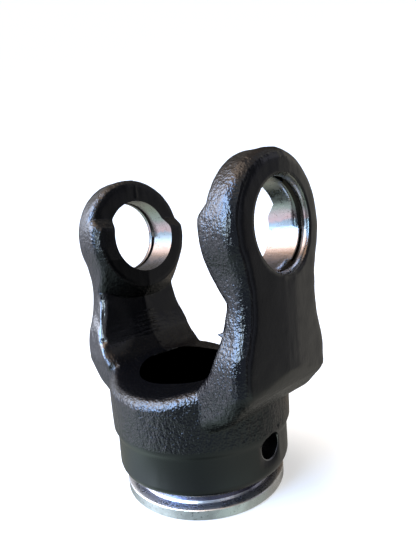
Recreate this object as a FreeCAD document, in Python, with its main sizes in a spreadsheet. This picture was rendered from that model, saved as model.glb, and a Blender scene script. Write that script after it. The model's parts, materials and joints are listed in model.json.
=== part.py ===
import FreeCAD
import Part
import Sketcher
import math
import os

# Forged tube yoke: a round turned hub with a rounded three-sided tube socket, and two ears that
# carry the bores of a universal joint's cross. One closed-die forging, parted on the plane Y = 0.
# Frame: origin at the centre of the end ring's bottom face, Z up the hub's axis, X along the
# axis of the cross bores.

SIZES = [
    # hub, from the forged zone inwards: turned zone, end ring, shield groove, tube socket
    ("blank_radius", 34.8), ("blank_spread", 0.5), ("turn_depth", 1.35), ("ring_step", 2.2),
    ("groove_depth", 4.05), ("groove_wall", 3.8), ("socket_relief", 3.4), ("socket_chamfer", 1.0),
    # hub, upwards from the end ring's bottom face
    ("ring_height", 3.95), ("ring_edge", 0.4), ("groove_width", 4.35), ("lip_round", 3.8),
    ("turned_length", 13.7), ("shoulder_rise", 3.4), ("saddle_rise", 19.8), ("blank_over", 4.8),
    # ears seen along the bore axis
    ("bore_rise", 51.9), ("bore_radius", 15.1), ("eye_wall", 9.5), ("hip_rise", 6.8),
    ("hip_inset", 10.0), ("neck_radius", 36.0), ("side_taper", 1.0), ("top_clear", 4.3),
    # ears seen from the front
    ("overhang", 10.6), ("ear_thickness", 18.25), ("root_depth", 8.55), ("core_margin", 4.6),
    ("core_gap", 0.6),
    ("ear_clear", 3.2), ("side_clear", 5.2), ("draft", 4.5),
    # undersides of the ears
    ("flare_gap", 1.1), ("flare_inset", 2.6), ("flare_mid_out", 1.2), ("flare_mid_rise", 10.2),
    ("flare_wide_in", 2.2), ("flare_wide_rise", 8.3), ("flare_top_out", 1.1),
    ("flare_top_rise", 9.0), ("flare_clear", 9.6), ("flare_round", 12.0),
    # crotch between the ears, from its floor up the walls
    ("floor_in", 15.15), ("floor_round", 30.0),
    ("bend_in", 5.35), ("bend_rise", 2.7), ("bend_round", 7.0),
    ("wall_out", 0.15), ("wall_rise", 5.9), ("wall_round", 12.0),
    ("waist_out", 2.9), ("waist_rise", 7.2), ("waist_round", 30.0),
    ("neck_out", 2.1), ("neck_rise", 12.0), ("neck_round", 30.0), ("cut_clear", 7.2),
    # bosses and bores
    ("boss_wall", 6.4), ("boss_depth", 9.85), ("boss_slope", 10.8), ("relief_step", 3.85),
    ("relief_rise", 3.4), ("relief_ramp", 4.0), ("ring_groove_inset", 5.4),
    ("ring_groove_width", 1.6), ("ring_groove_depth", 1.0), ("lip_width", 1.9),
    ("mouth_slope", 0.5), ("bore_clear", 14.6), ("flash_trim", 0.2),
    # roll pin hole
    ("pin_radius", 4.7), ("pin_rise", 12.3), ("pin_edge", 0.4),
    # rounded edges
    ("edge_outer", 5.0), ("edge_inner", 3.5), ("edge_rim", 4.0),
]

# Places and sizes that follow from the ones above.
DERIVED = [
    ("blank_top_radius", "=blank_radius + blank_spread"),
    ("hub_radius", "=blank_radius - turn_depth"), ("ring_radius", "=hub_radius - ring_step"),
    ("groove_radius", "=ring_radius - groove_depth"),
    ("socket_corner", "=groove_radius - groove_wall"),
    ("socket_flat", "=socket_corner - socket_relief"), ("socket_side", "=2 * socket_flat"),
    ("socket_point", "=socket_flat * sqrt(3)"), ("socket_round", "=2 * socket_flat - socket_corner"),
    ("ring_low", "=ring_radius - ring_edge"), ("ring_top_edge", "=ring_height - ring_edge"),
    ("groove_top", "=ring_height + groove_width"), ("turned_top", "=groove_top + turned_length"),
    ("shoulder_top", "=turned_top + shoulder_rise"), ("floor_z", "=shoulder_top + saddle_rise"),
    ("blank_top", "=floor_z + blank_over"), ("turn_clear", "=blank_radius + cut_clear"),
    ("outer_face", "=blank_radius + overhang"), ("boss_face", "=outer_face - ear_thickness"),
    ("bore_height", "=floor_z + bore_rise"), ("eye_radius", "=bore_radius + eye_wall"),
    ("hip_height", "=floor_z + hip_rise"), ("hip_radius", "=blank_radius - hip_inset"),
    ("ear_start", "=boss_face - root_depth"), ("ear_core", "=ear_start - core_margin"),
    ("ear_length", "=outer_face + ear_clear - ear_start"),
    ("core_radius", "=socket_corner + core_gap"),
    ("ear_depth", "=max(hip_radius; eye_radius) + side_clear"),
    ("ear_top", "=bore_height + eye_radius + top_clear"), ("crotch_top", "=ear_top + top_clear"),
    ("crotch_depth", "=max(blank_radius; ear_depth) + cut_clear"),
    ("flare_foot", "=shoulder_top + flare_gap"), ("flare_in", "=ear_start - flare_inset"),
    ("flare_mid", "=blank_radius + flare_mid_out"), ("flare_mid_z", "=flare_foot + flare_mid_rise"),
    ("flare_wide", "=outer_face - flare_wide_in"),
    ("flare_wide_z", "=flare_mid_z + flare_wide_rise"),
    ("flare_top", "=outer_face + flare_top_out"), ("flare_top_z", "=flare_wide_z + flare_top_rise"),
    ("flare_limit", "=outer_face + flare_clear"),
    ("floor_x", "=boss_face - floor_in"), ("bend_x", "=boss_face - bend_in"),
    ("bend_z", "=floor_z + bend_rise"), ("wall_x", "=boss_face + wall_out"),
    ("wall_z", "=bend_z + wall_rise"), ("waist_x", "=wall_x + waist_out"),
    ("waist_z", "=wall_z + waist_rise"), ("neck_x", "=waist_x + neck_out"),
    ("neck_z", "=waist_z + neck_rise"),
    ("boss_radius", "=bore_radius + boss_wall"), ("boss_root", "=boss_radius + boss_slope"),
    ("relief_face", "=boss_face + relief_step"), ("relief_start", "=bore_height + relief_rise"),
    ("relief_end", "=relief_start + relief_ramp"),
    ("ring_groove_in", "=outer_face - ring_groove_inset"),
    ("ring_groove_out", "=ring_groove_in + ring_groove_width"),
    ("ring_groove_radius", "=bore_radius + ring_groove_depth"),
    ("bore_mouth", "=ring_groove_out + lip_width"), ("bore_out", "=outer_face + bore_clear"),
    ("bore_wide", "=bore_radius + (bore_out - bore_mouth) * mouth_slope"),
    ("flash_face", "=outer_face - flash_trim"),
    ("pin_height", "=groove_top + pin_rise"), ("pin_mouth", "=hub_radius - pin_edge"),
    ("pin_wide", "=pin_radius + pin_edge"),
]

# Tests for picking edges: how near a surface counts as on it, how far from a limit an edge must
# be, and the least turn between two faces that makes their edge a sharp one.
CLOSE = 0.02
MARGIN = 0.5
SHARP = math.radians(12.0)

os.makedirs("parts", exist_ok=True)
doc = FreeCAD.newDocument("forged_yoke")
sheet = doc.addObject("Spreadsheet::Sheet", "sizes")
for row, (alias, value) in enumerate(SIZES + DERIVED, start=1):
    sheet.set("A%d" % row, alias)
    sheet.set("B%d" % row, str(value))
    sheet.setAlias("B%d" % row, alias)
doc.recompute()


def size(name):
    """Value of a cell; a leading minus sign takes the opposite."""
    if name.startswith("-"):
        return -size(name[1:])
    return 0.0 if name == "0" else float(sheet.get(name))


def cell(name):
    return "-sizes." + name[1:] if name.startswith("-") else "sizes." + name


def sketch_on(body, name, role):
    sketch = body.newObject("Sketcher::SketchObject", name)
    for plane in body.Origin.OriginFeatures:
        if plane.Role == role:
            sketch.AttachmentSupport = (plane, "")
    sketch.MapMode = "FlatFace"
    return sketch


def lift(sketch, name):
    """Moves a sketch up its plane so that its own axis lies at a cell's height."""
    sketch.AttachmentOffset = FreeCAD.Placement(FreeCAD.Vector(0, size(name), 0), FreeCAD.Rotation())
    sketch.setExpression("AttachmentOffset.Base.y", cell(name))


def hold(sketch, geometry, vertex, across, up):
    """Holds a sketch point at two cells, or on an axis where the name is 0."""
    for kind, name, axis in (("DistanceX", across, -2), ("DistanceY", up, -1)):
        if name == "0":
            sketch.addConstraint(Sketcher.Constraint("PointOnObject", geometry, vertex, axis))
        else:
            number = sketch.addConstraint(
                Sketcher.Constraint(kind, -1, 1, geometry, vertex, size(name))
            )
            sketch.setExpression("Constraints[%d]" % number, cell(name))


def turn(centre, radius, start, end):
    """Arc round a centre from one point to another, counterclockwise."""
    first = math.atan2(start.y - centre.y, start.x - centre.x)
    last = math.atan2(end.y - centre.y, end.x - centre.x)
    if last < first:
        last += 2.0 * math.pi
    circle = Part.Circle(centre, FreeCAD.Vector(0, 0, 1), radius)
    return Part.ArcOfCircle(circle, first, last)


def outline(sketch, corners):
    """Closed outline of straight sides. A corner is (across, up, rounding), all cell names; a
    rounded corner keeps its sharp point as a construction point on both its sides."""
    points = [FreeCAD.Vector(size(a), size(u), 0) for a, u, _ in corners]
    count = len(points)
    into = []
    out_of = []
    arcs = []
    for i, (_, _, rounding) in enumerate(corners):
        here = points[i]
        if rounding is None:
            into.append(here)
            out_of.append(here)
            arcs.append(None)
            continue
        back = (points[i - 1] - here).normalize()
        ahead = (points[(i + 1) % count] - here).normalize()
        half = back.getAngle(ahead) / 2.0
        radius = size(rounding)
        middle = (back + ahead).normalize()
        centre = here + middle * (radius / math.sin(half))
        into.append(here + back * (radius / math.tan(half)))
        out_of.append(here + ahead * (radius / math.tan(half)))
        ends = (into[i], out_of[i])
        if (into[i] - centre).cross(out_of[i] - centre).z < 0:
            ends = (out_of[i], into[i])
        arcs.append(turn(centre, radius, ends[0], ends[1]))
    sides = []
    for i in range(count):
        line = Part.LineSegment(out_of[i], into[(i + 1) % count])
        sides.append(sketch.addGeometry(line, False))
    for i, (across, up, rounding) in enumerate(corners):
        before = sides[i - 1]
        after = sides[i]
        if rounding is None:
            sketch.addConstraint(Sketcher.Constraint("Coincident", before, 2, after, 1))
            hold(sketch, after, 1, across, up)
            continue
        arc = sketch.addGeometry(arcs[i], False)
        start = sketch.Geometry[arc].StartPoint
        first, last = (1, 2) if start.distanceToPoint(into[i]) < CLOSE else (2, 1)
        sketch.addConstraint(Sketcher.Constraint("Tangent", before, 2, arc, first))
        sketch.addConstraint(Sketcher.Constraint("Tangent", arc, last, after, 1))
        number = sketch.addConstraint(Sketcher.Constraint("Radius", arc, size(rounding)))
        sketch.setExpression("Constraints[%d]" % number, cell(rounding))
        corner = sketch.addGeometry(Part.Point(points[i]), True)
        sketch.addConstraint(Sketcher.Constraint("PointOnObject", corner, 1, before))
        sketch.addConstraint(Sketcher.Constraint("PointOnObject", corner, 1, after))
        hold(sketch, corner, 1, across, up)


# Hub: one turned outline round the Z axis, with the forged zone above it.
hub = doc.addObject("PartDesign::Body", "hub_blank")
hub_profile = sketch_on(hub, "hub_profile", "XZ_Plane")
outline(hub_profile, [
    ("0", "0", None), ("blank_radius", "0", None), ("blank_radius", "shoulder_top", None),
    ("blank_top_radius", "blank_top", None), ("0", "blank_top", None),
])
turned = hub.newObject("PartDesign::Revolution", "hub_turned")
turned.Profile = hub_profile
turned.ReferenceAxis = (hub_profile, ["V_Axis"])
turned.Angle = 360.0
doc.recompute()

# Ear outline along the bore axis: eye and hip circles joined by hollow necks.
side = doc.addObject("PartDesign::Body", "ear_side")
side_sketch = sketch_on(side, "ear_outline", "YZ_Plane")
eye = size("eye_radius")
hip = size("hip_radius")
neck = size("neck_radius")
rise = size("bore_height") - size("hip_height")
far = eye + neck
near = hip + neck
drop = (far * far - near * near + rise * rise) / (2.0 * rise)
reach = math.sqrt(far * far - drop * drop)
eye_centre = FreeCAD.Vector(0, size("bore_height"), 0)
hip_centre = FreeCAD.Vector(0, size("hip_height"), 0)
right_centre = FreeCAD.Vector(reach, size("bore_height") - drop, 0)
left_centre = FreeCAD.Vector(-reach, size("bore_height") - drop, 0)


def toward(start, end, length):
    return start + (end - start).normalize() * length


eye_right = toward(eye_centre, right_centre, eye)
eye_left = toward(eye_centre, left_centre, eye)
hip_right = toward(hip_centre, right_centre, hip)
hip_left = toward(hip_centre, left_centre, hip)
side_right = FreeCAD.Vector(hip, size("hip_height"), 0)
side_left = FreeCAD.Vector(-hip, size("hip_height"), 0)
foot_right = FreeCAD.Vector(hip, size("shoulder_top"), 0)
foot_left = FreeCAD.Vector(-hip, size("shoulder_top"), 0)
top_arc = side_sketch.addGeometry(turn(eye_centre, eye, eye_right, eye_left), False)
left_arc = side_sketch.addGeometry(turn(left_centre, neck, hip_left, eye_left), False)
right_arc = side_sketch.addGeometry(turn(right_centre, neck, eye_right, hip_right), False)
hip_arc_left = side_sketch.addGeometry(turn(hip_centre, hip, hip_left, side_left), False)
hip_arc_right = side_sketch.addGeometry(turn(hip_centre, hip, side_right, hip_right), False)
line_left = side_sketch.addGeometry(Part.LineSegment(side_left, foot_left), False)
line_foot = side_sketch.addGeometry(Part.LineSegment(foot_left, foot_right), False)
line_right = side_sketch.addGeometry(Part.LineSegment(foot_right, side_right), False)


def arc_end(sketch, arc, point):
    return 1 if sketch.Geometry[arc].StartPoint.distanceToPoint(point) < CLOSE else 2


for first, second, joint in (
    (top_arc, left_arc, eye_left), (left_arc, hip_arc_left, hip_left),
    (hip_arc_left, line_left, side_left), (line_right, hip_arc_right, side_right),
    (hip_arc_right, right_arc, hip_right), (right_arc, top_arc, eye_right),
):
    ends = (arc_end(side_sketch, first, joint), arc_end(side_sketch, second, joint))
    side_sketch.addConstraint(Sketcher.Constraint("Tangent", first, ends[0], second, ends[1]))
side_sketch.addConstraint(Sketcher.Constraint("Coincident", line_left, 2, line_foot, 1))
side_sketch.addConstraint(Sketcher.Constraint("Coincident", line_foot, 2, line_right, 1))
side_sketch.addConstraint(Sketcher.Constraint("Vertical", line_left))
side_sketch.addConstraint(Sketcher.Constraint("Vertical", line_right))
side_sketch.addConstraint(Sketcher.Constraint("Horizontal", line_foot))
number = side_sketch.addConstraint(
    Sketcher.Constraint("DistanceY", -1, 1, line_foot, 1, size("shoulder_top"))
)
side_sketch.setExpression("Constraints[%d]" % number, cell("shoulder_top"))
for arc, name in ((top_arc, "eye_radius"), (hip_arc_left, "hip_radius"),
                  (hip_arc_right, "hip_radius"), (left_arc, "neck_radius"),
                  (right_arc, "neck_radius")):
    number = side_sketch.addConstraint(Sketcher.Constraint("Radius", arc, size(name)))
    side_sketch.setExpression("Constraints[%d]" % number, cell(name))
hold(side_sketch, top_arc, 3, "0", "bore_height")
hold(side_sketch, hip_arc_left, 3, "0", "hip_height")
hold(side_sketch, hip_arc_right, 3, "0", "hip_height")
side_sketch.AttachmentOffset = FreeCAD.Placement(
    FreeCAD.Vector(0, 0, size("ear_start")), FreeCAD.Rotation()
)
side_sketch.setExpression("AttachmentOffset.Base.z", cell("ear_start"))
side_pad = side.newObject("PartDesign::Pad", "ear_side_pad")
side_pad.Profile = side_sketch
side_pad.setExpression("Length", cell("ear_length"))
side_pad.setExpression("TaperAngle", "-sizes.side_taper")
doc.recompute()

# Ear outline from the front, drafted both ways from the parting plane.
front = doc.addObject("PartDesign::Body", "ear_front")
front_sketch = sketch_on(front, "ear_front_outline", "XZ_Plane")
outline(front_sketch, [
    ("ear_core", "shoulder_top", None), ("outer_face", "shoulder_top", None),
    ("outer_face", "ear_top", None), ("ear_core", "ear_top", None),
])
front_pad = front.newObject("PartDesign::Pad", "ear_front_pad")
front_pad.Profile = front_sketch
front_pad.SideType = "Two sides"
front_pad.setExpression("Length", cell("ear_depth"))
front_pad.setExpression("Length2", cell("ear_depth"))
front_pad.setExpression("TaperAngle", "-sizes.draft")
front_pad.setExpression("TaperAngle2", "-sizes.draft")
doc.recompute()

# Crotch between the ears: its front half is drafted away from the parting plane and rounded
# along its length, then mirrored to the back.
crotch = doc.addObject("PartDesign::Body", "crotch_half")
crotch_sketch = sketch_on(crotch, "crotch_outline", "XZ_Plane")
CROTCH = [
    ("floor_x", "floor_z", "floor_round"), ("bend_x", "bend_z", "bend_round"),
    ("wall_x", "wall_z", "wall_round"), ("waist_x", "waist_z", "waist_round"),
    ("neck_x", "neck_z", "neck_round"),
]
crotch_corners = [(x, z, None) for x, z, _ in CROTCH] + [("neck_x", "crotch_top", None)]
outline(crotch_sketch, crotch_corners + [("-" + x, z, None) for x, z, _ in reversed(crotch_corners)])
crotch_pad = crotch.newObject("PartDesign::Pad", "crotch_pad")
crotch_pad.Profile = crotch_sketch
crotch_pad.setExpression("Length", cell("crotch_depth"))
crotch_pad.setExpression("TaperAngle", "sizes.draft")
doc.recompute()


def edges_from(shape, points):
    """Names of the edges that start at one of the points on the parting plane and leave it."""
    names = []
    for number, edge in enumerate(shape.Edges, start=1):
        ends = [vertex.Point for vertex in edge.Vertexes]
        if len(ends) < 2 or abs(ends[0].y - ends[1].y) < MARGIN:
            continue
        for point in points:
            if min(ends[0].distanceToPoint(point), ends[1].distanceToPoint(point)) < CLOSE:
                names.append("Edge%d" % number)
    return names


for x, z, rounding in CROTCH:
    at = [FreeCAD.Vector(size(x), 0, size(z)), FreeCAD.Vector(-size(x), 0, size(z))]
    base = crotch.Tip
    bend = crotch.newObject("PartDesign::Fillet", "crotch_" + rounding)
    bend.Base = (base, edges_from(base.Shape, at))
    bend.setExpression("Radius", cell(rounding))
    doc.recompute()
crotch_back = doc.addObject("Part::Mirroring", "crotch_back")
crotch_back.Source = crotch
crotch_back.Normal = FreeCAD.Vector(0, 1, 0)
crotch_whole = doc.addObject("Part::MultiFuse", "crotch_whole")
crotch_whole.Shapes = [crotch, crotch_back]
doc.recompute()

# Flare: the ears' undersides slope down to the hub as one profile drawn through along Y.
flare = doc.addObject("PartDesign::Body", "flare")
flare_sketch = sketch_on(flare, "flare_outline", "XZ_Plane")
outline(flare_sketch, [
    ("0", "flare_foot", None), ("flare_in", "flare_foot", None),
    ("flare_mid", "flare_mid_z", "flare_round"), ("flare_wide", "flare_wide_z", "flare_round"),
    ("flare_top", "flare_top_z", None), ("flare_limit", "ear_top", None), ("0", "ear_top", None),
])
flare_pad = flare.newObject("PartDesign::Pad", "flare_pad")
flare_pad.Profile = flare_sketch
flare_pad.SideType = "Symmetric"
flare_pad.setExpression("Length", "2 * sizes.ear_depth")
doc.recompute()

# Bosses round the bores stand on the ears' inner sides; above them the sides are relieved.
x_axis = FreeCAD.Rotation(FreeCAD.Vector(0, 1, 0), 90)
boss = doc.addObject("Part::Cone", "boss")
boss.setExpression("Radius1", cell("boss_radius"))
boss.setExpression("Radius2", cell("boss_root"))
boss.setExpression("Height", cell("boss_depth"))
boss.Placement = FreeCAD.Placement(FreeCAD.Vector(), x_axis)
boss.setExpression("Placement.Base.x", cell("boss_face"))
boss.setExpression("Placement.Base.z", cell("bore_height"))
relief = doc.addObject("PartDesign::Body", "relief")
relief_sketch = sketch_on(relief, "relief_outline", "XZ_Plane")
outline(relief_sketch, [
    ("0", "relief_start", None), ("boss_face", "relief_start", None),
    ("relief_face", "relief_end", None), ("relief_face", "crotch_top", None),
    ("0", "crotch_top", None),
])
relief_pad = relief.newObject("PartDesign::Pad", "relief_pad")
relief_pad.Profile = relief_sketch
relief_pad.SideType = "Symmetric"
relief_pad.setExpression("Length", "2 * sizes.crotch_depth")
doc.recompute()
round_boss = doc.addObject("Part::Cut", "crotch_round_boss")
round_boss.Base = crotch_whole
round_boss.Tool = boss
space = doc.addObject("Part::Fuse", "crotch_tool")
space.Base = round_boss
space.Tool = relief

ear_block = doc.addObject("Part::MultiCommon", "ear_block")
ear_block.Shapes = [side, front, flare]
ear_cut = doc.addObject("Part::Cut", "ear_cut")
ear_cut.Base = ear_block
ear_cut.Tool = space
hub_cut = doc.addObject("Part::Cut", "hub_cut")
hub_cut.Base = hub
hub_cut.Tool = crotch_whole
doc.recompute()

def touches(shape, point):
    return shape.distToShape(Part.Vertex(point))[0] < CLOSE


def shared_edges(shape, pairs, low, high, inner):
    """Names of the sharp edges that lie on both skins of a pair, between two heights and outside
    a distance from the middle plane."""
    faces_at = {}
    for face in shape.Faces:
        for edge in face.Edges:
            faces_at.setdefault(edge.hashCode(), []).append(face)
    names = []
    for number, edge in enumerate(shape.Edges, start=1):
        middle = edge.valueAt((edge.FirstParameter + edge.LastParameter) / 2.0)
        faces = faces_at[edge.hashCode()]
        if len(faces) < 2 or not low < middle.z < high or abs(middle.x) < inner:
            continue
        normals = [f.normalAt(*f.Surface.parameter(middle)) for f in faces[:2]]
        if normals[0].getAngle(normals[1]) < SHARP:
            continue
        if any(touches(one, middle) and touches(other, middle) for one, other in pairs):
            names.append("Edge%d" % number)
    return names


def rounded(name, source, steps):
    """A body that starts from a shape and rounds the chosen edges, one radius after another."""
    body = doc.addObject("PartDesign::Body", name)
    body.BaseFeature = source
    doc.recompute()
    for label, radius, choose in steps:
        base = body.Tip
        edge_round = body.newObject("PartDesign::Fillet", name + "_" + label)
        edge_round.Base = (base, choose(base.Shape))
        edge_round.setExpression("Radius", cell(radius))
        doc.recompute()
    return body


def skin(shape):
    return Part.Compound(shape.Faces)


side_skin = skin(side.Shape)
front_skin = skin(front.Shape)
flare_skin = skin(flare.Shape)
space_skin = skin(space.Shape)
boss_skin = skin(boss.Shape)
relief_skin = skin(relief.Shape)
hub_skin = skin(hub.Shape)
crotch_skin = skin(crotch_whole.Shape)
start_x = size("ear_start") + MARGIN
top = size("ear_top")
ear = rounded("ear_right", ear_cut, [
    ("inner", "edge_inner", lambda s: shared_edges(
        s, [(side_skin, space_skin), (boss_skin, relief_skin)], size("floor_z") - MARGIN, top,
        start_x)),
    ("outer", "edge_outer", lambda s: shared_edges(
        s, [(side_skin, front_skin), (side_skin, flare_skin), (front_skin, flare_skin)],
        size("flare_foot"), top, start_x)),
])
hub_round = rounded("hub_forged", hub_cut, [
    ("rim", "edge_rim", lambda s: shared_edges(
        s, [(hub_skin, crotch_skin)], 0.0, size("blank_top") - MARGIN, 0.0)),
])

# The ears' roots end inside the hub, just outside the socket.
core = doc.addObject("Part::Cylinder", "root_core")
core.setExpression("Radius", cell("core_radius"))
core.setExpression("Height", cell("ear_top"))
ear_right = doc.addObject("Part::Cut", "ear_right_root")
ear_right.Base = ear
ear_right.Tool = core
ear_left = doc.addObject("Part::Mirroring", "ear_left_root")
ear_left.Source = ear_right
ear_left.Normal = FreeCAD.Vector(1, 0, 0)
hub_and_right = doc.addObject("Part::Fuse", "hub_and_right_ear")
hub_and_right.Base = hub_round
hub_and_right.Tool = ear_right
forging = doc.addObject("Part::Fuse", "forging")
forging.Base = hub_and_right
forging.Tool = ear_left
doc.recompute()

# Machining: turned hub, tube socket, cross bores with ring grooves, roll pin hole.
yoke = doc.addObject("PartDesign::Body", "yoke")
yoke.Label = "yoke"
yoke.BaseFeature = forging
doc.recompute()
turned_sketch = sketch_on(yoke, "turned_outline", "XZ_Plane")
outline(turned_sketch, [
    ("ring_low", "0", None), ("ring_radius", "ring_edge", None),
    ("ring_radius", "ring_top_edge", None), ("ring_low", "ring_height", None),
    ("groove_radius", "ring_height", None), ("groove_radius", "groove_top", None),
    ("hub_radius", "groove_top", "lip_round"), ("hub_radius", "turned_top", None),
    ("blank_radius", "shoulder_top", None), ("turn_clear", "shoulder_top", None),
    ("turn_clear", "0", None),
])
turned_groove = yoke.newObject("PartDesign::Groove", "turned_hub")
turned_groove.Profile = turned_sketch
turned_groove.ReferenceAxis = (turned_sketch, ["V_Axis"])
turned_groove.Angle = 360.0
doc.recompute()

socket_sketch = sketch_on(yoke, "socket_outline", "XY_Plane")
outline(socket_sketch, [
    ("socket_side", "0", "socket_round"), ("-socket_flat", "socket_point", "socket_round"),
    ("-socket_flat", "-socket_point", "socket_round"),
])
socket = yoke.newObject("PartDesign::Pocket", "tube_socket")
socket.Profile = socket_sketch
socket.SideType = "Symmetric"
socket.setExpression("Length", "2 * sizes.bore_height")
doc.recompute()

# Machining, continued: a chamfer at the socket's lower mouth, and the strip on the ears' outer
# sides where the flash is trimmed off.
mouth_edges = []
for number, edge in enumerate(yoke.Shape.Edges, start=1):
    box = edge.BoundBox
    if max(abs(box.ZMin), abs(box.ZMax)) < CLOSE:
        middle = edge.valueAt((edge.FirstParameter + edge.LastParameter) / 2.0)
        if math.hypot(middle.x, middle.y) < size("groove_radius"):
            mouth_edges.append("Edge%d" % number)
mouth = yoke.newObject("PartDesign::Chamfer", "socket_mouth")
mouth.Base = (socket, mouth_edges)
mouth.setExpression("Size", cell("socket_chamfer"))
doc.recompute()

for name, sign in (("flash_right", ""), ("flash_left", "-")):
    flash_sketch = sketch_on(yoke, name + "_outline", "XZ_Plane")
    outline(flash_sketch, [
        (sign + "flash_face", "shoulder_top", None), (sign + "bore_out", "shoulder_top", None),
        (sign + "bore_out", "ear_top", None), (sign + "flash_face", "ear_top", None),
    ])
    flash = yoke.newObject("PartDesign::Pocket", name)
    flash.Profile = flash_sketch
    flash.SideType = "Symmetric"
    flash.setExpression("Length", "2 * sizes.ear_depth")
    doc.recompute()

bore_sketch = sketch_on(yoke, "cross_bore_outline", "XZ_Plane")
lift(bore_sketch, "bore_height")
bore_half = [
    ("bore_out", "0", None), ("bore_out", "bore_wide", None),
    ("bore_mouth", "bore_radius", None), ("ring_groove_out", "bore_radius", None),
    ("ring_groove_out", "ring_groove_radius", None), ("ring_groove_in", "ring_groove_radius", None),
    ("ring_groove_in", "bore_radius", None),
]
outline(bore_sketch, bore_half + [("-" + x, z, r) for x, z, r in reversed(bore_half)])
bore_groove = yoke.newObject("PartDesign::Groove", "cross_bores")
bore_groove.Profile = bore_sketch
bore_groove.ReferenceAxis = (bore_sketch, ["H_Axis"])
bore_groove.Angle = 360.0
doc.recompute()

pin_sketch = sketch_on(yoke, "pin_hole_outline", "XZ_Plane")
lift(pin_sketch, "pin_height")
pin_half = [
    ("turn_clear", "0", None), ("turn_clear", "pin_wide", None), ("hub_radius", "pin_wide", None),
    ("pin_mouth", "pin_radius", None),
]
outline(pin_sketch, pin_half + [("-" + x, z, r) for x, z, r in reversed(pin_half)])
pin_groove = yoke.newObject("PartDesign::Groove", "pin_hole")
pin_groove.Profile = pin_sketch
pin_groove.ReferenceAxis = (pin_sketch, ["H_Axis"])
pin_groove.Angle = 360.0
doc.recompute()

for item in doc.Objects:
    if "Invalid" in item.State or "Error" in item.State:
        raise RuntimeError("%s is %s" % (item.Name, item.State))
if yoke.Shape.isNull() or not yoke.Shape.isValid() or len(yoke.Shape.Solids) != 1:
    raise RuntimeError("the yoke isn't one valid solid")
yoke.Placement = FreeCAD.Placement()
yoke.Shape.exportStep("parts/yoke.step")
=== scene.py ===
"""Looks of a forged tube yoke: black paint over a rough forging, with bare machined bores, groove
and end ring. Lengths are metres; X runs along the cross bores, Z up the hub, and Y = 0 is the
plane where the forging dies parted."""
import json
import math
import bmesh
import bpy
import numpy as np
from mathutils import Matrix, Vector


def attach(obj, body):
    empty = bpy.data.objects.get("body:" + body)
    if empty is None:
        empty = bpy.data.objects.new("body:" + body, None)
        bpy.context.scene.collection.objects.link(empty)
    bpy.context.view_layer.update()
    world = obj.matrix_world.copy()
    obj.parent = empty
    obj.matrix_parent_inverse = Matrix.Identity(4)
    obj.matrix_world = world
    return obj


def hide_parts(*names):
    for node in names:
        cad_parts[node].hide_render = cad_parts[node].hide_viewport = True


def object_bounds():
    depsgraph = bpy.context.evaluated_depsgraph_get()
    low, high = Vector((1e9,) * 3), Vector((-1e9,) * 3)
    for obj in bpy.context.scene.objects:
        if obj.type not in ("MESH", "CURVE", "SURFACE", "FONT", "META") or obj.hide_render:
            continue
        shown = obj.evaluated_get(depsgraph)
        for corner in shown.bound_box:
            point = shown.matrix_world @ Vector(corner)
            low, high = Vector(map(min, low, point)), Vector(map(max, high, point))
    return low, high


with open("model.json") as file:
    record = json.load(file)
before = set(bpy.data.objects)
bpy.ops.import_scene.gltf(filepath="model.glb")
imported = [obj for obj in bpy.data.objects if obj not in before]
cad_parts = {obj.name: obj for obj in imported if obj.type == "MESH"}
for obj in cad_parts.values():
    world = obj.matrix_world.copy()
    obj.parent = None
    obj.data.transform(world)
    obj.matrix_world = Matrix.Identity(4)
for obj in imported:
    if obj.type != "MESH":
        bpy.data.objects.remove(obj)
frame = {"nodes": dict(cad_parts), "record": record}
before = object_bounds()

# Forging. One piece of steel, pressed hot between two dies and then machined. The CAD shape is
# cut finer where the dies left it rough, most of all round its small marks: the trimmed flash
# line, a fold and a lip at the left ear's root, a burr on the right ear and a pit on the hub.
mounts = {mount["name"]: mount for mount in frame["record"]["mounts"]}
bore_height = mounts["cross_bore"]["pos_m"][2]
bore_radius = mounts["cross_bore"]["dims"]["r_mm"] / 1000.0
shoulder_top = 0.0254
socket_radius = 0.0236
merge_gap = 2e-6
burr_spot = Vector((0.0336, -0.0208, 0.0650))
pit_spot = Vector((0.0347, 0.0034, 0.0271))
lap_bends = ((-0.0348, -0.0203, 0.0740), (-0.0339, -0.0212, 0.0630), (-0.0324, -0.0224, 0.0568))
lip_bends = ((-0.0300, -0.0236, 0.0520), (-0.0283, -0.0246, 0.0495), (-0.0255, -0.0252, 0.0465))
notch_spot = (-0.0310, -0.0226, 0.0550)
fold_bends = [Vector(bend) for bend in lap_bends + lip_bends]
fold_side = -0.02
fold_breadth = 2.6
everywhere = 1.0
flash_edge = 0.0008

work = bmesh.new()
work.from_mesh(frame["nodes"]["yoke"].data)
bmesh.ops.remove_doubles(work, verts=work.verts, dist=merge_gap)
# Each pass halves the edges longer than the first number that lie within the second of a mark.
passes = ((0.0022, everywhere), (0.0015, everywhere), (flash_edge, 0.0035), (0.0004, 0.0022))
for longest, reach in passes:
    long_edges = []
    for edge in work.edges:
        middle = (edge.verts[0].co + edge.verts[1].co) / 2.0
        gaps = [(middle - burr_spot).length, (middle - pit_spot).length]
        if longest >= flash_edge:
            gaps.append(abs(middle.y))
        if reach < everywhere and middle.x < fold_side:
            gaps += [(middle - bend).length / fold_breadth for bend in fold_bends]
        forged_part = middle.z > shoulder_top + 0.0005
        if forged_part and min(gaps) < reach and edge.calc_length() > longest:
            long_edges.append(edge)
    bmesh.ops.subdivide_edges(work, edges=long_edges, cuts=1)
    bmesh.ops.triangulate(work, faces=[face for face in work.faces if len(face.verts) > 3])
mesh = bpy.data.meshes.new("forged_yoke")
work.normal_update()
work.to_mesh(mesh)
work.free()

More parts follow.
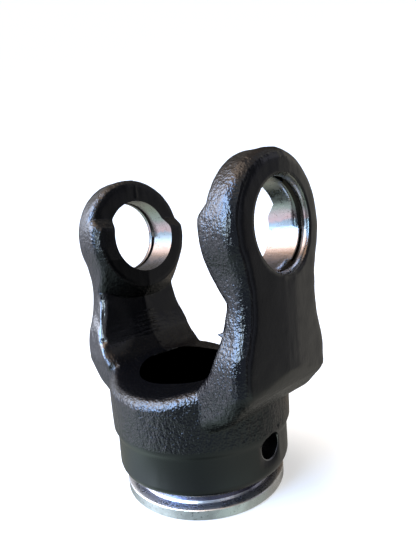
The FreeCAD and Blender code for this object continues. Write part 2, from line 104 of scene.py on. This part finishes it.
# Dents and ridges. The skin is pushed in or out along its normals, and not at all on the
# machined bores, hub and socket: slow waves from the hammer, ripples at the left ear's root, and
# the small marks.
count = len(mesh.vertices)
place = np.empty(count * 3)
mesh.vertices.foreach_get("co", place)
place = place.reshape(count, 3)
facing = np.empty(count * 3)
mesh.vertices.foreach_get("normal", facing)
facing = facing.reshape(count, 3)
x, y, z = place.T


def rise(value, low, high):
    """0 below low, 1 above high, smooth between."""
    t = np.clip((value - low) / (high - low), 0.0, 1.0)
    return t * t * (3.0 - 2.0 * t)


def bell(distance, width):
    """1 at no distance, falling to 1/e at the width: e to the minus square of their ratio."""
    return np.exp(-((distance / width) ** 2))


def waves(spacing, seed):
    """Smooth random height from -1 to 1: 9 plane waves about that far apart, with random ways."""
    random = np.random.default_rng(seed)
    ways = random.normal(size=(9, 3))
    ways /= np.linalg.norm(ways, axis=1)[:, None]
    ways *= 2.0 * np.pi / spacing * random.uniform(0.7, 1.4, size=(9, 1))
    return np.sin(place @ ways.T + random.uniform(0.0, 2.0 * np.pi, 9)).sum(1) / 4.5


def along(bends):
    """Distance from each point to the chain of straight pieces through the bends."""
    nearest = np.full(count, 1.0)
    for start, end in zip(np.array(bends[:-1]), np.array(bends[1:])):
        step = end - start
        share = np.clip((place - start) @ step / (step @ step), 0.0, 1.0)
        gap = np.linalg.norm(place - start - share[:, None] * step, axis=1)
        nearest = np.minimum(nearest, gap)
    return nearest


def away_from(spot):
    """Distance from each point to the spot."""
    return np.linalg.norm(place - np.array(spot), axis=1)


rough = rise(np.hypot(y, z - bore_height), bore_radius + 0.0004, bore_radius + 0.0022)
rough *= rise(z, shoulder_top + 0.0004, shoulder_top + 0.0025)
rough *= rise(np.hypot(x, y), socket_radius + 0.0004, socket_radius + 0.0025)
push = 0.00008 * waves(0.011, 3) + 0.00005 * waves(0.0045, 5)
left_inside = rise(-x, 0.019, 0.023) * rise(facing[:, 0], 0.3, 0.7)
root = rise(z, 0.052, 0.057) * (1.0 - rise(z, 0.066, 0.070)) * rise(-np.abs(y), -0.0065, -0.003)
ripple_height = 0.00012
ripple_spacing = 0.0018
ripples = np.sin(z * 2.0 * np.pi / ripple_spacing + 2.0 * waves(0.02, 8))
push += ripple_height * left_inside * root * ripples
flash_height = 0.00014 + 0.00012 * rise(z, 0.108, 0.114)
flash_line = bell(y, 0.0007) * rise(z, 0.050, 0.056)
push += flash_height * flash_line * (0.6 + 0.4 * waves(0.009, 11))
# Each small mark is a height or a depth, times a bell as wide as the mark.
push -= 0.0005 * bell(away_from(pit_spot), 0.0006)
push += 0.0006 * bell(along(lap_bends), 0.0008)
push += 0.0011 * bell(along(lip_bends), 0.0016)
push -= 0.0009 * bell(away_from(notch_spot), 0.0010)
burr_length = 0.0018
burr_way = np.array((-0.90, -0.42, 0.12))
moved = place + facing * (rough * push)[:, None]
moved += burr_way * burr_length * bell(away_from(burr_spot), 0.00055)[:, None]
low, high = (np.array(corner) for corner in before)
mesh.vertices.foreach_set("co", np.clip(moved, low, high).ravel())
mesh.update()

yoke = bpy.data.objects.new("forged_yoke", mesh)
bpy.context.scene.collection.objects.link(yoke)
mesh.shade_smooth()
mesh.set_sharp_from_angle(angle=math.radians(28.0))
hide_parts("yoke")
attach(yoke, "root")

# Regions. The group says how far a point is machined bare, machined and painted, or forged,
# from its place and the way it faces, so the borders are as sharp as the cuts that made them.


def put(tree, kind, operation=None, **values):
    """Adds a shader node. A value sets an input: a number, a colour, or another node's output."""
    node = tree.nodes.new("ShaderNode" + kind)
    if operation:
        node.operation = operation
    for key, value in values.items():
        numbered = key[0] == "i" and key[1:].isdigit()
        socket = node.inputs[int(key[1:]) if numbered else key.replace("_", " ")]
        if isinstance(value, bpy.types.NodeSocket):
            tree.links.new(value, socket)
        else:
            socket.default_value = value
    return node


def maths(tree, operation, first, *others):
    """Adds a Math node and gives its output."""
    more = {"i%d" % number: value for number, value in enumerate(others, 1)}
    return put(tree, "Math", operation, i0=first, **more).outputs[0]


def product(tree, first, *others):
    """All the values multiplied."""
    for other in others:
        first = maths(tree, "MULTIPLY", first, other)
    return first


def between(tree, value, low, high):
    """1 where the value lies between low and high, and 0 elsewhere."""
    return product(tree, maths(tree, "GREATER_THAN", value, low),
                   maths(tree, "LESS_THAN", value, high))


def length(tree, first, second):
    """Square root of the sum of the two squares."""
    return maths(tree, "SQRT", maths(
        tree, "MULTIPLY_ADD", first, first, maths(tree, "MULTIPLY", second, second)))


def fade(tree, value, low, high, start=0.0, end=1.0):
    """Goes straight from start to end while the value goes from low to high."""
    return put(tree, "MapRange", Value=value, From_Min=low, From_Max=high, To_Min=start,
               To_Max=end).outputs[0]


def give(group, **values):
    """Gives the group one named output for each value."""
    for name in values:
        group.interface.new_socket(name, in_out="OUTPUT", socket_type="NodeSocketFloat")
    ends = group.nodes.new("NodeGroupOutput")
    for name, value in values.items():
        group.links.new(value, ends.inputs[name])


pin_height = mounts["pin_hole"]["pos_m"][2]
pin_radius = mounts["pin_hole"]["dims"]["r_mm"] / 1000.0
pin_mouth = pin_radius + 0.00003
pin_glint_rim = pin_radius + 0.00038
bore_lip = bore_radius + 0.0013
ring_groove_in = 0.0396
ring_groove_out = 0.0420
ring_top = 0.0040
groove_top = 0.00835
hub_wall = 0.0261
crotch_floor = 0.0465
ears_foot = 0.036
fork_top = 0.088
inner_face = (0.0335, 0.0315)
outer_round = (0.0385, 0.0415)
side_facing = (0.80, 0.97)
floor_facing = (0.3, 0.8)
fold_middle = (-0.0320, -0.0215, 0.0610)
fold_reach = (0.0150, 0.0110)
steep = 0.6

regions = bpy.data.node_groups.new("yoke_regions", "ShaderNodeTree")
spot = put(regions, "TexCoord")
point_x, point_y, point_z = put(regions, "SeparateXYZ", Vector=spot.outputs["Object"]).outputs
faces_x, faces_y, faces_z = put(regions, "SeparateXYZ", Vector=spot.outputs["Normal"]).outputs
flat_facing = put(regions, "NewGeometry").outputs["True Normal"]
flat_z = put(regions, "SeparateXYZ", Vector=flat_facing).outputs["Z"]
away = maths(regions, "ABSOLUTE", point_x)
sideways = maths(regions, "ABSOLUTE", faces_x)
above_ears_foot = maths(regions, "GREATER_THAN", point_z, ears_foot)

above_bore = maths(regions, "SUBTRACT", point_z, bore_height)
bore_distance = length(regions, point_y, above_bore)
near_bore = maths(regions, "LESS_THAN", bore_distance, bore_lip)
bore_wall = maths(regions, "LESS_THAN", sideways, steep)
ring_groove = between(regions, away, ring_groove_in, ring_groove_out)
bore = product(regions, near_bore, maths(regions, "MAXIMUM", bore_wall, ring_groove))

axis_distance = length(regions, point_x, point_y)
outside = maths(regions, "GREATER_THAN", axis_distance, hub_wall)
ring = product(regions, outside, maths(regions, "LESS_THAN", point_z, ring_top))
groove = product(regions, outside, between(regions, point_z, ring_top, groove_top))

above_pin = maths(regions, "SUBTRACT", point_z, pin_height)
pin_distance = length(regions, point_y, above_pin)
pin_wall = maths(regions, "LESS_THAN", pin_distance, pin_mouth)
upright = maths(regions, "LESS_THAN", maths(regions, "ABSOLUTE", flat_z), steep)
within_hub = maths(regions, "LESS_THAN", axis_distance, hub_wall)
under_floor = maths(regions, "LESS_THAN", point_z, crotch_floor)
socket_wall = product(regions, upright, within_hub, under_floor)

# Inside the fork, off its front and on the crotch's floor: where the paint's sheen is taken down
# as painted shade.
inner_side = fade(regions, away, *inner_face)
off_front = fade(regions, faces_y, -0.6, -0.25)
front_half = fade(regions, point_y, 0.0012, -0.0004)
floor_up = fade(regions, faces_z, *floor_facing, 0.0, 0.6)
floor_share = fade(regions, faces_z, *floor_facing, 0.80, 1.18)
below_bores = product(regions, above_ears_foot, maths(regions, "LESS_THAN", point_z, fork_top))
shaded_half = maths(regions, "MAXIMUM", front_half, floor_up)
fold_distance = put(regions, "VectorMath", "DISTANCE", i0=spot.outputs["Object"],
                    i1=fold_middle).outputs["Value"]
# The outputs also mark where light and shade are painted: inside the fork, where the paint's
# sheen is taken down as painted shade; the socket and the pin hole, painted black as painted
# shade; and a ring at the pin hole's mouth, painted as a glint.
give(regions, bore=bore, ring_groove=ring_groove, ring=ring, groove=groove,
     turned=maths(regions, "LESS_THAN", point_z, shoulder_top + 0.0003),
     pin_edge=between(regions, pin_distance, pin_mouth, pin_glint_rim),
     flat_side=product(regions, above_ears_foot, fade(regions, sideways, *side_facing)),
     socket=maths(regions, "MAXIMUM", socket_wall, product(regions, pin_wall, 0.85)),
     bore_level=fade(regions, above_bore, -bore_radius, bore_radius),
     groove_level=fade(regions, point_z, ring_top, groove_top),
     fork=product(regions, inner_side, off_front, below_bores, shaded_half, floor_share),
     outer_edge=fade(regions, away, *outer_round),
     fold=fade(regions, fold_distance, *fold_reach))

# Forged skin. Pebbles from scale and shot under the paint, at several sizes, creases on the
# crotch's front rim, and slow changes of gloss. The group gives a height in metres and a gloss
# mask.
rim_middle = (-0.011, -0.033, 0.0415)
crease_height = 0.00006
crease_turns = 5200.0

skin = bpy.data.node_groups.new("forged_skin", "ShaderNodeTree")
skin_spot = put(skin, "TexCoord").outputs["Object"]
drawn = put(skin, "Mapping", Vector=skin_spot, Rotation=(0.15, 0.1, 0.0),
            Scale=(1.0, 1.0, 0.45)).outputs[0]
coarse = put(skin, "TexNoise", Vector=drawn, Scale=1000.0, Detail=2.0, Roughness=0.5,
             Distortion=0.3)
fine = put(skin, "TexNoise", Vector=skin_spot, Scale=2300.0, Detail=1.0, Roughness=0.5)
dents = put(skin, "TexVoronoi", Vector=skin_spot, Scale=1150.0, Randomness=1.0)
dents.feature = "SMOOTH_F1"
dents.inputs["Smoothness"].default_value = 0.5
hammered = put(skin, "TexNoise", Vector=drawn, Scale=330.0, Detail=1.0, Roughness=0.5)
pebbles = maths(skin, "MULTIPLY", hammered.outputs["Fac"], 0.00034)
pebbles = maths(skin, "MULTIPLY_ADD", dents.outputs["Distance"], 0.00016, pebbles)
pebbles = maths(skin, "MULTIPLY_ADD", fine.outputs["Fac"], 0.00014, pebbles)
pebbles = maths(skin, "MULTIPLY_ADD", coarse.outputs["Fac"], 0.00033, pebbles)
rim_distance = put(skin, "VectorMath", "DISTANCE", i0=skin_spot, i1=rim_middle).outputs["Value"]
rim_share = fade(skin, rim_distance, 0.011, 0.004)
rim_turn = maths(skin, "MULTIPLY", put(skin, "SeparateXYZ", Vector=skin_spot).outputs["X"],
                 crease_turns)
wavy_turn = maths(skin, "MULTIPLY_ADD", hammered.outputs["Fac"], 9.0, rim_turn)
creases = maths(skin, "MULTIPLY", maths(skin, "SINE", wavy_turn), crease_height)
slow = put(skin, "TexNoise", Vector=skin_spot, Scale=90.0, Detail=4.0, Roughness=0.6)
give(skin, height=maths(skin, "MULTIPLY_ADD", creases, rim_share, pebbles),
     gloss=fade(skin, slow.outputs["Fac"], 0.35, 0.65))

# Tool marks. Fine rings left by turning the hub and boring the ears, rust pits in the bare
# steel, and stains. The group gives two heights in metres and two masks.
marks = bpy.data.node_groups.new("tool_marks", "ShaderNodeTree")
marks_spot = put(marks, "TexCoord").outputs["Object"]
along_hub = put(marks, "Mapping", Vector=marks_spot, Scale=(60.0, 60.0, 5200.0)).outputs[0]
hub_rings = put(marks, "TexNoise", Vector=along_hub, Scale=1.0, Detail=2.0)
along_bore = put(marks, "Mapping", Vector=marks_spot, Scale=(4200.0, 50.0, 50.0)).outputs[0]
bore_rings = put(marks, "TexNoise", Vector=along_bore, Scale=1.0, Detail=3.0)
pits = put(marks, "TexNoise", Vector=marks_spot, Scale=900.0, Detail=4.0, Roughness=0.6)
blotch = put(marks, "TexNoise", Vector=marks_spot, Scale=160.0, Detail=5.0, Roughness=0.65)
pit_height = maths(marks, "MULTIPLY", pits.outputs["Fac"], 0.00003)
give(marks, hub_height=maths(marks, "MULTIPLY", hub_rings.outputs["Fac"], 0.000012),
     bore_height=maths(marks, "MULTIPLY_ADD", bore_rings.outputs["Fac"], 0.000022, pit_height),
     specks=fade(marks, pits.outputs["Fac"], 0.60, 0.70),
     stain=fade(marks, blotch.outputs["Fac"], 0.42, 0.66))

# Black paint. A thin glossy coat on everything forged or turned. Its pebbles are pressed flat on
# the ears' outer sides and calm at the fold. Its sheen is taken down inside the fork as painted
# shade and raised at the fold as a painted highlight, and the socket and the pin hole are painted
# black without sheen, a painted shade for their dark insides.


def use(tree, group):
    """Places a group in the tree and gives its outputs."""
    node = tree.nodes.new("ShaderNodeGroup")
    node.node_tree = group
    return node.outputs


def mix(tree, share, first, second):
    """Number that goes from the first to the second as the share goes from 0 to 1."""
    return put(tree, "Mix", i0=share, i2=first, i3=second).outputs[0]


def blend(tree, share, first, second):
    """Colour that goes from the first to the second as the share goes from 0 to 1."""
    node = put(tree, "Mix", i0=share, i6=first, i7=second)
    node.data_type = "RGBA"
    return node.outputs[2]


def ramp(tree, place, stops):
    """Colour ramp. Each stop is a place from 0 to 1 and the colour there."""
    node = put(tree, "ValToRGB", Fac=place)
    elements = node.color_ramp.elements
    while len(elements) < len(stops):
        elements.new(1.0)
    for element, (level, *colour) in zip(elements, stops):
        element.position = level
    for element, (level, *colour) in zip(elements, stops):
        element.color = (*colour, 1.0)
    return node.outputs["Color"]


side_press = 0.88
edge_press = 0.45
least_grain = 0.10
fold_calm = 0.7
side_roughness = 0.24
turned_roughness = 0.22
socket_roughness = 0.9
paint_black = (0.0014, 0.0014, 0.0017, 1.0)
no_light = (0.0, 0.0, 0.0, 1.0)
full_shine = 0.5
fork_loss = 0.38
fold_painted_highlight = 0.4

finish = bpy.data.materials.new("paint_over_steel")
finish.use_nodes = True
tree = finish.node_tree
tree.nodes.clear()
where = use(tree, regions)
forged_skin = use(tree, skin)
tooling = use(tree, marks)

forged = maths(tree, "SUBTRACT", 1.0, where["turned"])
pressed = maths(tree, "MULTIPLY_ADD", where["flat_side"], -side_press, maths(
    tree, "MULTIPLY_ADD", where["outer_edge"], -edge_press, 1.0))
calm = maths(tree, "MULTIPLY_ADD", where["fold"], -fold_calm, 1.0)
grain = product(tree, maths(tree, "MAXIMUM", pressed, least_grain), calm)
skin_height = product(tree, forged_skin["height"], grain, forged)
paint_height = maths(tree, "MULTIPLY_ADD", tooling["hub_height"], where["turned"], skin_height)
paint_bump = put(tree, "Bump", Height=paint_height, Distance=1.0, Strength=1.0)
gloss = fade(tree, forged_skin["gloss"], 0.0, 1.0, 0.12, 0.22)
satin = mix(tree, where["flat_side"], gloss, side_roughness)
smooth = mix(tree, where["turned"], satin, turned_roughness)
dull = mix(tree, where["socket"], smooth, socket_roughness)
# The socket and the pin hole are painted black, a painted shade for their dark insides.
paint_colour = blend(tree, where["socket"], paint_black, no_light)
# Painted shade: the paint's sheen is taken down inside the fork, and to nothing in the socket and
# the pin hole.
sheen_with_painted_light = maths(tree, "MULTIPLY_ADD", where["fork"], -fork_loss, full_shine)
sheen_with_painted_light = maths(tree, "MULTIPLY_ADD", where["socket"], -full_shine, sheen_with_painted_light)
# Painted highlight: the paint's sheen is raised at the fold.
sheen_with_painted_light = maths(tree, "MULTIPLY_ADD", where["fold"], fold_painted_highlight, sheen_with_painted_light)
paint = put(tree, "BsdfPrincipled", Base_Color=paint_colour, Roughness=dull, IOR=1.5,
            Specular_IOR_Level=sheen_with_painted_light, Normal=paint_bump.outputs[0])

# Bare steel. The end ring and its groove are turned bright and the bores are bored. Painted light
# is
# laid on: the bores are coloured in bands by height, a painted reflection of the room; the groove
# above the end ring carries bands of painted highlight and painted shade; and the snap ring
# grooves are darkened as painted shade, while dirt sits in the rust pits.
bare_height = mix(tree, where["bore"], tooling["hub_height"], tooling["bore_height"])
bare_bump = put(tree, "Bump", Height=bare_height, Distance=1.0, Strength=1.0)
steel_tone = blend(tree, tooling["stain"], (0.66, 0.66, 0.67, 1.0), (0.50, 0.49, 0.47, 1.0))
# Painted reflection: the bores are coloured in bands by height, the room's warm, cool and grey
# bands, moved a little by the stain.
bore_reflection_level = maths(tree, "MULTIPLY_ADD", tooling["stain"], 0.05, where["bore_level"])
bore_painted_reflection = ramp(tree, bore_reflection_level, (
    (0.02, 0.20, 0.20, 0.21), (0.12, 0.18, 0.17, 0.18), (0.20, 0.19, 0.14, 0.11),
    (0.34, 0.21, 0.155, 0.125), (0.40, 0.18, 0.22, 0.24), (0.54, 0.19, 0.24, 0.27),
    (0.58, 0.32, 0.24, 0.23), (0.68, 0.35, 0.31, 0.30), (0.74, 0.35, 0.37, 0.33),
    (0.98, 0.50, 0.50, 0.45)))
# The snap ring grooves are darkened as painted shade of the recess; the rust pits are darkened as
# dirt.
pit_dirt_and_groove_shade = maths(tree, "MAXIMUM", where["ring_groove"], product(tree, tooling["specks"], 0.6))
clean_tone = blend(tree, where["bore"], steel_tone, bore_painted_reflection)
dirty_shaded_tone = blend(tree, pit_dirt_and_groove_shade, clean_tone, (0.035, 0.030, 0.026, 1.0))
# Painted light on the groove above the end ring: bands by height, with a painted highlight at the
# ring's top edge and at the groove's upper edge, painted shade below each, and grey between.
groove_painted_highlight = (0.80, 0.80, 0.86)
groove_painted_shade = (0.13, 0.12, 0.16)
groove_floor_grey = (0.34, 0.35, 0.42)
groove_edge_painted_highlight = (0.85, 0.87, 0.95)
groove_painted_light_bands = ramp(tree, where["groove_level"], (
    (0.02, *groove_painted_highlight), (0.09, *groove_painted_highlight), (0.14, *groove_painted_shade),
    (0.44, 0.17, 0.16, 0.21), (0.50, *groove_floor_grey), (0.62, *groove_floor_grey),
    (0.68, *groove_edge_painted_highlight), (0.78, *groove_edge_painted_highlight), (0.84, 0.30, 0.31, 0.37),
    (0.98, 0.22, 0.22, 0.25)))
steel = put(tree, "BsdfPrincipled", Metallic=1.0, Normal=bare_bump.outputs[0],
            Base_Color=blend(tree, where["groove"], dirty_shaded_tone, groove_painted_light_bands),
            Roughness=fade(tree, tooling["stain"], 0.0, 1.0, 0.24, 0.38))

bare = maths(tree, "MAXIMUM", where["bore"], maths(
    tree, "MAXIMUM", where["ring"], where["groove"]))
# A ring of bare steel at the pin hole's mouth stands in for the glint on its chamfer, a painted
# highlight.
bare_with_pin_glint = maths(tree, "MAXIMUM", bare, product(tree, where["pin_edge"], 0.3))
shown = put(tree, "MixShader", i0=bare_with_pin_glint, i1=paint.outputs[0], i2=steel.outputs[0])
put(tree, "OutputMaterial", Surface=shown.outputs[0])
mesh.materials.clear()
mesh.materials.append(finish)

# Floor. A pale plain sheet under the end ring, curved up far behind into a backdrop. Only the
# camera sees it: the paint mirrors the room instead, so the yoke stays as black as it is.
half_width = 1.6
bend = 0.5
wall_top = 2.2
curl = np.linspace(0.1, np.pi / 2.0, 12)
across = np.linspace(-half_width, half_width, 3)
run = np.concatenate([[-half_width, bend], bend + bend * np.sin(curl), [2.0 * bend]])
climb = np.concatenate([[0.0, 0.0], bend - bend * np.cos(curl), [wall_top]])
points = [(side, out, up) for out, up in zip(run, climb) for side in across]
quads = [(3 * row + column, 3 * row + column + 1, 3 * row + column + 4, 3 * row + column + 3)
         for row in range(len(run) - 1) for column in range(2)]
floor_mesh = bpy.data.meshes.new("floor")
floor_mesh.from_pydata(points, [], quads)
floor_mesh.shade_smooth()
floor = bpy.data.objects.new("floor", floor_mesh)
floor.rotation_euler = (0.0, 0.0, math.radians(44.5))
floor.location = (0.0, 0.0, -0.0002)
bpy.context.scene.collection.objects.link(floor)
pale = bpy.data.materials.new("pale_floor")
pale.use_nodes = True
ground = pale.node_tree
ground.nodes.clear()
chalk = put(ground, "BsdfDiffuse", Color=(0.42, 0.42, 0.42, 1.0))
glow = put(ground, "Emission", Color=(1.0, 1.0, 1.0, 1.0), Strength=0.52)
lit = put(ground, "AddShader", i0=chalk.outputs[0], i1=glow.outputs[0])
clear = put(ground, "BsdfTransparent")
seen = put(ground, "LightPath")
sheet = put(ground, "MixShader", i0=seen.outputs["Is Camera Ray"], i1=clear.outputs[0],
            i2=lit.outputs[0])
put(ground, "OutputMaterial", Surface=sheet.outputs[0])
floor_mesh.materials.append(pale)

# Room. Its light hangs in six rings, from the floor up to the ceiling. Each stop of a ring is a
# compass angle, 0 along -Y and growing toward +X, then a tint and a strength: a window with blue
# sky on the left, a calm front, a dark corner on the right, and a warm ceiling.
tints = {
    "sky": (0.37, 0.58, 1.00), "window": (0.82, 0.86, 1.00), "day": (0.77, 0.92, 1.00),
    "cool": (0.65, 0.78, 1.00), "dusk": (0.80, 0.80, 1.00), "grey": (0.98, 0.97, 1.00),
    "stone": (1.00, 0.96, 0.88), "warm": (1.00, 0.79, 0.62), "sage": (0.88, 1.00, 0.92),
    "mint": (0.79, 1.00, 0.95),
}
rings = (
    (-1.0, -0.9, (
        (-180, "stone", 0.3), (-90, "sage", 0.48), (-60, "mint", 0.95), (-30, "mint", 0.65),
        (30, "mint", 0.4), (90, "sage", 0.55), (180, "stone", 0.3))),
    (-0.68, -0.56, (
        (-180, "stone", 0.2), (-120, "stone", 0.28), (-90, "sage", 0.42), (-60, "day", 0.93),
        (-42, "day", 1.4), (-28, "day", 2.25), (-12, "day", 1.55), (2, "day", 0.9),
        (40, "day", 0.48), (75, "mint", 0.85), (108, "sage", 0.7), (125, "sage", 0.42),
        (150, "stone", 0.4))),
    (-0.46, -0.36, (
        (-180, "warm", 0.32), (-125, "stone", 0.16), (-95, "grey", 0.5), (-78, "window", 0.95),
        (-64, "window", 1.05), (-56, "window", 1.05), (-53, "window", 1.9),
        (-49, "window", 1.9), (-46, "window", 3.6), (-37, "window", 3.6),
        (-30, "window", 0.97), (-14, "cool", 1.65), (-7, "cool", 0.1), (12, "cool", 0.08),
        (26, "cool", 0.2), (50, "cool", 0.33), (98, "window", 0.31), (106, "dusk", 0.09),
        (116, "dusk", 0.09), (124, "grey", 0.26), (132, "grey", 0.26), (146, "grey", 0.32),
        (160, "stone", 0.5))),
    (0.07, 0.22, (
        (-180, "warm", 0.25), (-130, "stone", 0.1), (-97, "grey", 0.52), (-76, "window", 2.2),
        (-66, "window", 7.2), (-57, "window", 7.2), (-54, "window", 2.1),
        (-49, "window", 2.1), (-46, "window", 13.0), (-33, "window", 13.0),
        (-30, "window", 5.7), (-26, "window", 5.7), (-23, "sky", 30.5), (-2, "sky", 25.5),
        (3, "sky", 8.5), (8, "cool", 0.1), (48, "cool", 0.1), (64, "cool", 1.15),
        (82, "window", 0.7), (98, "dusk", 0.08), (120, "dusk", 0.04), (130, "dusk", 0.34),
        (144, "grey", 0.24), (160, "stone", 0.54))),
    (0.34, 0.44, (
        (-180, "warm", 0.12), (-150, "warm", 0.06), (-110, "stone", 0.27), (-88, "grey", 0.8),
        (-72, "grey", 1.7), (-64, "window", 8.4), (-52, "window", 8.4), (-50, "window", 4.4),
        (-47, "window", 16.3), (-30, "window", 16.3), (-28, "window", 7.0),
        (-24, "cool", 10.0), (-21, "sky", 32.0), (7, "sky", 21.5), (13, "cool", 0.5),
        (50, "day", 0.67), (78, "grey", 1.05), (96, "stone", 0.29), (106, "dusk", 0.05),
        (124, "dusk", 0.05), (133, "dusk", 0.92), (142, "grey", 0.37), (160, "stone", 0.46))),
    (0.72, 0.84, (
        (-180, "warm", 0.2), (-120, "warm", 0.4), (-80, "warm", 1.35), (-55, "warm", 3.2),
        (-20, "warm", 3.9), (20, "warm", 3.7), (60, "warm", 1.2), (90, "warm", 0.6),
        (125, "grey", 0.3), (155, "grey", 0.35))),
)
brightest = 33.0

world = bpy.data.worlds.new("room")
bpy.context.scene.world = world
world.use_nodes = True
room = world.node_tree
room.nodes.clear()
way = put(room, "SeparateXYZ", Vector=put(room, "TexCoord").outputs["Generated"])
minus_y = maths(room, "MULTIPLY", way.outputs["Y"], -1.0)
compass = maths(room, "ARCTAN2", way.outputs["X"], minus_y)
turn_share = fade(room, compass, -math.pi, math.pi)
light = no_light
for low_z, high_z, stops in rings:
    hung = [((angle + 180.0) / 360.0, *(strength / brightest * part for part in tints[tint]))
            for angle, tint, strength in stops]
    climbed = fade(room, way.outputs["Z"], low_z, high_z)
    light = blend(room, climbed, light, ramp(room, turn_share, hung))
inside = put(room, "Background", Color=light, Strength=brightest)
blank_view = put(room, "Background", Color=(1.0, 1.0, 1.0, 1.0), Strength=1.0)
eye = put(room, "LightPath")
both = put(room, "MixShader", i0=eye.outputs["Is Camera Ray"], i1=inside.outputs[0],
           i2=blank_view.outputs[0])
put(room, "OutputWorld", Surface=both.outputs[0])

# Lamp. One wide panel above makes the floor pale and puts the soft shadow under the yoke.
panel = bpy.data.lights.new("top_panel", "AREA")
panel.shape = "RECTANGLE"
panel.size = 0.8
panel.size_y = 0.8
panel.energy = 9.0
panel.color = (1.0, 0.99, 0.97)
lamp = bpy.data.objects.new("top_panel", panel)
lamp.location = (-0.27, -0.15, 0.91)
lamp.rotation_euler = (math.radians(-10.0), math.radians(-18.0), 0.0)
lamp.visible_glossy = False
bpy.context.scene.collection.objects.link(lamp)

# Card. A small bright card out of the picture, near enough that only the left ear's inner edge
# and the crotch's rim mirror it.
card = bpy.data.lights.new("edge_card", "AREA")
card.shape = "RECTANGLE"
card.size = 0.05
card.size_y = 0.08
card.energy = 0.16
card.color = (0.72, 0.88, 1.0)
glint = bpy.data.objects.new("edge_card", card)
glint.location = (0.054, -0.145, 0.112)
aim = Vector((-0.032, -0.022, 0.060))
glint.rotation_euler = (glint.location - aim).to_track_quat("Z", "Y").to_euler()
glint.visible_camera = False
bpy.context.scene.collection.objects.link(glint)
bpy.context.scene.view_settings.view_transform = "Standard"

# Camera. The place, turn and lens that the circles of the bores and rings in the picture give.
azimuth = math.radians(44.47)
elevation = math.radians(6.02)
roll = math.radians(-4.22)
stand = (0.117958, -0.111062, 0.095890)
back = np.array([math.sin(azimuth) * math.cos(elevation),
                 -math.cos(azimuth) * math.cos(elevation), math.sin(elevation)])
right = np.cross([0.0, 0.0, 1.0], back)
right /= np.linalg.norm(right)
up = np.cross(back, right)
rolled_right = math.cos(roll) * right + math.sin(roll) * up
rolled_up = math.cos(roll) * up - math.sin(roll) * right
turn = np.eye(4)
turn[:3] = np.column_stack([rolled_right, rolled_up, back, stand])
camera = bpy.data.objects.new("camera", bpy.data.cameras.new("camera"))
bpy.context.scene.collection.objects.link(camera)
camera.matrix_world = Matrix(turn.tolist())
camera.data.sensor_width = 36.0
camera.data.lens = 26.98
camera.data.clip_start = 0.005
bpy.context.scene.camera = camera
